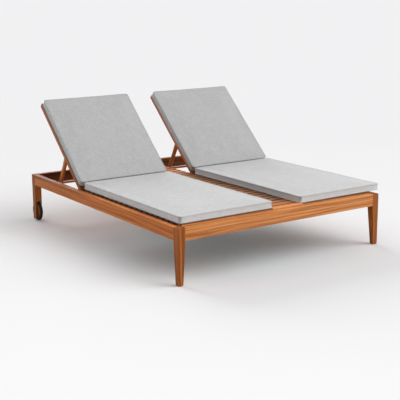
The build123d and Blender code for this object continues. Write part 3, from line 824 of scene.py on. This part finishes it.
# %% [markdown]
# A subdivision rounds everything, also the seams. An edge crease holds some of it back. The
# lower seam is kept crisp, so that it meets the slats in a thin line, and the upper one is
# softer. The painted shade of the folds is written as an attribute: a band below the upper seam,
# and a shade at each corner that grows up the side band and fades just over the seam.

# %% Crisp seams and painted fold shade
LOWER_CREASE = 0.75
UPPER_CREASE = 0.3
SEAM_SHADE = 0.45
SEAM_SHADE_HEIGHT = 0.86
SEAM_SHADE_WIDTH = 0.13
TUCK = 0.004
TUCK_SIZE = 0.019


def crease(mesh, seams):
    """Keeps each seam as crisp as it is sewn under the subdivision."""
    sewn = {frozenset(pair): sharpness
            for seam, sharpness in zip(seams, (LOWER_CREASE, UPPER_CREASE))
            for pair in zip(seam, seam[1:] + seam[:1])}
    values = [sewn.get(frozenset(edge.vertices), 0.0) for edge in mesh.edges]
    mesh.attributes.new("crease_edge", "FLOAT", "EDGE").data.foreach_set("value", values)
    print(f"{mesh.name}: {len(sewn)} creased edges")


def mark_painted_fold_shade(mesh, plan):
    """Marks where painted shade goes: below the upper seam and at the corners."""
    middle = plan.base + plan.along * (plan.length / 2)
    corners = [middle + plan.along * (v * (plan.length / 2 - TUCK)) + ACROSS * (u * (plan.half - TUCK))
               for u in (-1, 1) for v in (-1, 1)]
    marks = mesh.attributes.new("painted_fold_shade", "FLOAT", "POINT")
    for number, vertex in enumerate(mesh.vertices):
        height = (vertex.co - plan.base).dot(plan.out) / BORDER
        on_side = 1 - abs(vertex.normal.dot(plan.out))
        # painted shade in a band just below the upper seam
        seam = max(0.0, 1 - abs(height - SEAM_SHADE_HEIGHT) / SEAM_SHADE_WIDTH) * on_side
        at_height = [(vertex.co - corner - plan.out * BORDER * height).length for corner in corners]
        # painted shade at each corner, where a tuck would lie
        corner_shade = max(0.0, 1 - min(at_height) / TUCK_SIZE)
        corner_shade *= smooth(height / 0.6) * (1 - smooth((height - 0.95) / 0.15))
        marks.data[number].value = min(1.0, SEAM_SHADE * seam + corner_shade)


# %% [markdown]
# ## Piping and stitches
# Both seams are piped with a thin cord covered in the same cloth, and a row of stitches runs
# just inside the upper one. They could be modelled once and copied by hand along the edge, but
# there are hundreds of stitches on each cushion. Geometry Nodes do it from one closed line: a
# tree for the piping and one for the stitches, with their sizes as named inputs. This cell has
# what both trees share, their start and their end.

# %% Start and end of a seam tree
def seam_tree(name, sizes):
    """Starts a node tree that turns a closed line of edges into a curve."""
    tree = bpy.data.node_groups.new(name, "GeometryNodeTree")
    tree.interface.new_socket("Line", in_out="INPUT", socket_type="NodeSocketGeometry")
    tree.interface.new_socket("Material", in_out="INPUT", socket_type="NodeSocketMaterial")
    for label, size in sizes:
        socket = tree.interface.new_socket(label, in_out="INPUT", socket_type="NodeSocketFloat")
        socket.default_value = size
    tree.interface.new_socket("Result", in_out="OUTPUT", socket_type="NodeSocketGeometry")
    given = tree.nodes.new("NodeGroupInput").outputs
    curve = tree.nodes.new("GeometryNodeMeshToCurve")
    tree.links.new(given["Line"], curve.inputs["Mesh"])
    return tree, given, curve.outputs["Curve"]


def finish_tree(tree, given, mesh):
    """Turns instances into real geometry, sets the material and ends the tree."""
    real = tree.nodes.new("GeometryNodeRealizeInstances")
    painted = tree.nodes.new("GeometryNodeSetMaterial")
    result = tree.nodes.new("NodeGroupOutput")
    tree.links.new(mesh, real.inputs["Geometry"])
    tree.links.new(real.outputs["Geometry"], painted.inputs["Geometry"])
    tree.links.new(given["Material"], painted.inputs["Material"])
    tree.links.new(painted.outputs["Geometry"], result.inputs["Result"])
    print(f"tree {tree.name}: {len(tree.nodes)} nodes")
    return tree


# %% [markdown]
# The piping is a small circle swept along the seam. Curve to Mesh does that in one node, and
# eight sides are enough for a cord of four millimetres.

# %% Piping tree
PIPING_RADIUS = 0.0021
PIPING_SIDES = 8


def piping_tree():
    """A thin covered cord that follows the seam."""
    tree, given, curve = seam_tree("piping", (("Radius", PIPING_RADIUS),))
    ring = tree.nodes.new("GeometryNodeCurvePrimitiveCircle")
    ring.inputs["Resolution"].default_value = PIPING_SIDES
    tube = tree.nodes.new("GeometryNodeCurveToMesh")
    tree.links.new(given["Radius"], ring.inputs["Radius"])
    tree.links.new(curve, tube.inputs["Curve"])
    tree.links.new(ring.outputs["Curve"], tube.inputs["Profile Curve"])
    return finish_tree(tree, given, tube.outputs["Mesh"])


PIPING = piping_tree()

# %% [markdown]
# A stitch is a short grain of thread. The seam is divided at the stitch's pitch, a small sphere
# with few faces is placed at each point, stretched to the stitch's length, and turned to lie
# along the seam.

# %% Stitch tree
STITCH_SIZES = (("Pitch", 0.0085), ("Length", 0.0060), ("Thickness", 0.0013))


def stitch_tree():
    """Stitches of one length, set at one pitch along the seam."""
    tree, given, curve = seam_tree("stitches", STITCH_SIZES)
    spaced = tree.nodes.new("GeometryNodeResampleCurve")
    spaced.mode = "LENGTH"
    tree.links.new(curve, spaced.inputs["Curve"])
    tree.links.new(given["Pitch"], spaced.inputs["Length"])
    grain = tree.nodes.new("GeometryNodeMeshUVSphere")
    grain.inputs["Segments"].default_value = 6
    grain.inputs["Rings"].default_value = 5
    grain.inputs["Radius"].default_value = 0.5
    size = tree.nodes.new("ShaderNodeCombineXYZ")
    for axis, label in zip("XYZ", ("Thickness", "Thickness", "Length")):
        tree.links.new(given[label], size.inputs[axis])
    tangent = tree.nodes.new("GeometryNodeInputTangent")
    turn = tree.nodes.new("FunctionNodeAlignRotationToVector")
    turn.axis = "Z"
    tree.links.new(tangent.outputs["Tangent"], turn.inputs["Vector"])
    placed = tree.nodes.new("GeometryNodeInstanceOnPoints")
    tree.links.new(spaced.outputs["Curve"], placed.inputs["Points"])
    tree.links.new(grain.outputs["Mesh"], placed.inputs["Instance"])
    tree.links.new(turn.outputs["Rotation"], placed.inputs["Rotation"])
    tree.links.new(size.outputs["Vector"], placed.inputs["Scale"])
    return finish_tree(tree, given, placed.outputs["Instances"])


STITCHES = stitch_tree()


# %% [markdown]
# A tree or a modifier only shows its result. For a piece that can be exported, the evaluated
# shape is copied into a mesh of its own, and the object that carried the modifier is deleted.
# The piece then rides on its body, and takes the finish it is given.

# %% Keep a shape as a piece
def frozen(source, name):
    """The evaluated shape of an object as a mesh of its own, smooth shaded."""
    graph = bpy.context.evaluated_depsgraph_get()
    mesh = bpy.data.meshes.new_from_object(source.evaluated_get(graph))
    mesh.name = name
    for face in mesh.polygons:
        face.use_smooth = True
    return mesh


def new_piece(name, mesh, body, material):
    """Makes a mesh a piece of the lounger that moves with a body."""
    piece = bpy.data.objects.new(name, mesh)
    bpy.context.collection.objects.link(piece)
    mesh.materials.clear()
    mesh.materials.append(material)
    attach(piece, body)
    print(f"{name}: {len(mesh.polygons)} faces")
    return piece


# %% [markdown]
# A seam's points become a line of edges, and a tree runs along it as a modifier. The material
# goes in through the socket's identifier, because a modifier doesn't know the socket's name.

# %% Run a tree along a seam
def along_seam(name, points, tree, body, material):
    """Runs a node tree along a closed line of points and keeps its mesh as a piece."""
    count = len(points)
    line = bpy.data.meshes.new(name + "_line")
    line.from_pydata(points, [(i, (i + 1) % count) for i in range(count)], [])
    guide = bpy.data.objects.new(name + "_line", line)
    bpy.context.collection.objects.link(guide)
    modifier = guide.modifiers.new("seam", "NODES")
    modifier.node_group = tree
    sockets = {item.name: item.identifier for item in tree.interface.items_tree}
    modifier[sockets["Material"]] = material
    mesh = frozen(guide, name)
    guide.modifiers.remove(modifier)
    bpy.data.objects.remove(guide)
    new_piece(name, mesh, body, material)


# %% [markdown]
# ## One whole cushion
# The steps come in the order of a workshop: cut and sew the cloth, fill it, lay it down, then
# finish the seams. The pad is made first, because piping and stitches are placed on its filled
# shape. It replaces the plain CAD solid, which stays hidden for collisions.


def sew_pad(node, body, plan, material):
    """Cuts, fills and smooths one pad that stands for a soft solid."""
    mesh, seams, index = cut_cloth(node + "_pad", plan)
    sewn = bpy.data.objects.new(node + "_sewn", mesh)
    bpy.context.collection.objects.link(sewn)
    inflate(sewn, swell_limits(plan, index))
    ruffle(mesh)
    lay_flat(mesh, plan)
    crease(mesh, seams)
    sewn.modifiers.new("smooth", "SUBSURF").levels = 1
    pad = new_piece(node + "_pad", frozen(sewn, node + "_pad"), body, material)
    bpy.data.objects.remove(sewn)
    mark_painted_fold_shade(pad.data, plan)
    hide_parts(node)
    thickness = max((v.co - plan.base).dot(plan.out) for v in pad.data.vertices)
    print(f"{node}: {thickness * 1000:.0f} mm thick where it is thickest")
    return pad, seams


# %% [markdown]
# The piping runs along the seams of the filled pad. The lower cord is raised by its own radius,
# so that it lies on the slats and doesn't sink into them. For the stitches, each point of the
# upper seam is moved a little towards the pad's middle and put back on the cloth.

# %% Trim a pad with piping and stitches
STITCH_INSET = 0.006


def trim_pad(node, body, plan, pad, seams, material):
    """Pipes both seams of a pad, and stitches it just inside the upper one."""
    points = pad.data.vertices
    for label, seam, lift in zip(("lower", "upper"), seams, (PIPING_RADIUS, 0.0)):
        path = [points[i].co + plan.out * lift for i in seam]
        along_seam(f"{node}_{label}_piping", path, PIPING, body, material)
    middle = plan.base + plan.along * (plan.length / 2) + plan.out * BORDER
    row = []
    for i in seams[1]:
        inward = (middle - points[i].co).normalized() * STITCH_INSET
        row.append(pad.closest_point_on_mesh(points[i].co + inward)[1])
    along_seam(f"{node}_stitches", row, STITCHES, body, seam_thread)


def cushion(node, body, plan, material):
    """Makes one cushion with its trim."""
    pad, seams = sew_pad(node, body, plan, material)
    trim_pad(node, body, plan, pad, seams, material)


# %% [markdown]
# ## The four cushions
# The seat pads lie level on the deck and belong to the frame. The back pads lean on the slats
# of their backrests and ride with them. Each takes its place and size from its own CAD solid,
# so it stays right if the model changes.

# %% Make the four cushions
def seat_cushion(side):
    node = f"seat_cushion_{side}"
    low, high = map(Vector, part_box(node))
    base = Vector(((low.x + high.x) / 2, low.y, low.z))
    plan = PadPlan(base, UPRIGHT, LENGTHWISE, high.x - low.x, high.y - low.y)
    cushion(node, "frame", plan, seat_cloth)


def back_cushion(side):
    node = f"back_{side}_cushion"
    points = [v.co for v in NODES[node].data.vertices]
    left = min(p.x for p in points)
    right = max(p.x for p in points)
    foot = min(p.dot(UP_BACK) for p in points)
    head = max(p.dot(UP_BACK) for p in points)
    base = Vector(((left + right) / 2, 0, 0)) + UP_BACK * foot + OUT_OF_BACK * back_face
    plan = PadPlan(base, OUT_OF_BACK, UP_BACK, right - left, head - foot)
    cushion(node, f"backrest_{side}", plan, back_cloth)


for side in SIDES:
    seat_cushion(side)
    back_cushion(side)

# %% [markdown]
# ## Floor
# The lounger was photographed on a pale studio floor that runs on out of sight. A plane that is
# far larger than the view does the same without an edge. Its paper is a little whiter in front
# of the foot end, and further off it has the sky's own tone, so that no horizon shows.
# Teak throws warm light on what lies below it, and the photograph's shadow is a plain grey, so
# the paper is slightly cool under the lounger and the two cancel out.

# %% Pale paper floor
FLOOR_REACH = 400.0
NEAR_PAPER = (0.845, 0.845, 0.852)
FAR_PAPER = (0.760, 0.760, 0.770)
PAPER_FADE = 7.5
COOL_TINTS = ((0.15, (0.84, 0.965, 1.0)), (0.40, (0.89, 0.975, 1.0)),
              (0.65, (0.945, 0.99, 1.0)), (0.95, (1.0, 1.0, 1.0)))

corners = [(FLOOR_REACH * x, FLOOR_REACH * y, 0) for x, y in ((-1, -1), (1, -1), (1, 1), (-1, 1))]
floor_mesh = bpy.data.meshes.new("studio_floor")
floor_mesh.from_pydata(corners, [], [(0, 1, 2, 3)])
floor = bpy.data.objects.new("studio_floor", floor_mesh)
bpy.context.collection.objects.link(floor)

paper = Recipe("studio_paper")
floor_x, floor_y = paper.local(ACROSS, LENGTHWISE)


def distance_from(x, y):
    """How far a place on the floor lies from a given point."""
    steps = (paper.math("ADD", floor_x, -x), paper.math("ADD", floor_y, -y))
    straight = paper.vector(steps, (1.0, 1.0))
    return paper.add("ShaderNodeVectorMath", {0: straight}, operation="LENGTH").outputs["Value"]


fade = paper.remap(distance_from(-1.2, -3.5), 0.0, PAPER_FADE, 0.0, 1.0)
white = paper.ramp(fade, ((0.0, NEAR_PAPER), (1.0, FAR_PAPER)))
tint = paper.ramp(distance_from(-0.1, -0.4), COOL_TINTS)
tinted = paper.add("ShaderNodeVectorMath", {0: white, 1: tint}, operation="MULTIPLY").outputs["Vector"]
paper.surface(Base_Color=tinted, Roughness=0.9, Specular_IOR_Level=0.0)
floor_mesh.materials.append(paper.mat)
print(f"floor {2 * FLOOR_REACH:.0f} m wide")

# %% [markdown]
# ## Sky
# An even white sky fills the shadows, as the walls of a studio do. It has two strengths. The
# object is lit by a dim one, so that its shadow stays readable. The camera, reflections and
# clear materials see a bright one, as pale as the floor.

# %% Even sky
SKY_LIGHT = 0.48
SKY_SEEN = 0.88

world = bpy.data.worlds.new("studio")
world.use_nodes = True
sky_nodes = world.node_tree.nodes
sky_links = world.node_tree.links
sky = sky_nodes["Background"]
sky.inputs["Color"].default_value = (1.0, 1.0, 1.0, 1.0)
rays = sky_nodes.new("ShaderNodeLightPath")
seen = rays.outputs["Is Camera Ray"]
for ray in ("Is Glossy Ray", "Is Transmission Ray"):
    either = sky_nodes.new("ShaderNodeMath")
    either.operation = "MAXIMUM"
    sky_links.new(seen, either.inputs[0])
    sky_links.new(rays.outputs[ray], either.inputs[1])
    seen = either.outputs[0]
strength = sky_nodes.new("ShaderNodeMapRange")
strength.inputs["To Min"].default_value = SKY_LIGHT
strength.inputs["To Max"].default_value = SKY_SEEN
sky_links.new(seen, strength.inputs["Value"])
sky_links.new(strength.outputs[0], sky.inputs["Strength"])
bpy.context.scene.world = world
print(f"sky lights at {SKY_LIGHT} and is seen at {SKY_SEEN}")

# %% [markdown]
# ## Lamps
# The photograph's shadow is soft, spreads to the left and to the front, and is darkest right
# under the foot end. Area lamps would do, but their light changes with distance. A sun has only
# a direction, a strength and an apparent size, and a wide sun is as soft as a large window. Four
# of them, 50 degrees wide, were fitted to the shadow: two from the front right, a strong low one
# from behind, and a weak one that opens the left side.

# %% Broad suns
SUN_WIDTH = 50
SUNS = (("high_right", (0.47, -0.47, 0.74), 1.08), ("low_right", (0.68, -0.68, 0.28), 1.71),
        ("behind", (0.0, 0.96, 0.28), 2.80), ("low_left", (-1.0, -0.25, 0.15), 0.18))

for name, direction, energy in SUNS:
    light = bpy.data.lights.new(name, "SUN")
    light.energy = energy
    light.angle = radians(SUN_WIDTH)
    holder = bpy.data.objects.new(name, light)
    holder.rotation_euler = Vector(direction).to_track_quat("Z", "Y").to_euler()
    bpy.context.collection.objects.link(holder)
    print(f"sun {name}: {energy}")

# %% [markdown]
# ## Camera
# The camera was found from the photograph by fitting the edges of the legs, rails and cushions.
# It looks from the foot end's left corner, a little from above, with a long lens. The fit gave
# the lens as pixels of a picture 400 pixels wide, and a sensor of 36 mm turns that into
# millimetres. The three axes of the camera are built from its angles and set as a matrix.

# %% Camera from the photograph
AZIMUTH = radians(-34.393)
ELEVATION = radians(12.869)
ROLL = radians(-0.355)
CAMERA_PLACE = (-3.5998, -5.2973, 1.6827)
PICTURE_WIDTH = 400
FOCAL_PIXELS = 919.13
SENSOR_WIDTH = 36.0

back_dir = Vector((sin(AZIMUTH) * cos(ELEVATION), -cos(AZIMUTH) * cos(ELEVATION), sin(ELEVATION)))
level_right = Vector((cos(AZIMUTH), sin(AZIMUTH), 0.0))
level_up = back_dir.cross(level_right)
right_dir = level_right * cos(ROLL) + level_up * sin(ROLL)
up_dir = level_up * cos(ROLL) - level_right * sin(ROLL)
camera_data = bpy.data.cameras.new("camera")
camera_data.sensor_width = SENSOR_WIDTH
camera_data.lens = SENSOR_WIDTH * FOCAL_PIXELS / PICTURE_WIDTH
camera_data.clip_end = 2000.0
camera = bpy.data.objects.new("camera", camera_data)
turned = Matrix((right_dir, up_dir, back_dir)).transposed().to_4x4()
camera.matrix_world = Matrix.Translation(CAMERA_PLACE) @ turned
bpy.context.collection.objects.link(camera)
bpy.context.scene.camera = camera
bpy.context.scene.view_settings.view_transform = "Standard"
print(f"camera with a lens of {camera_data.lens:.1f} mm, {CAMERA_PLACE[2]:.2f} m above the floor")
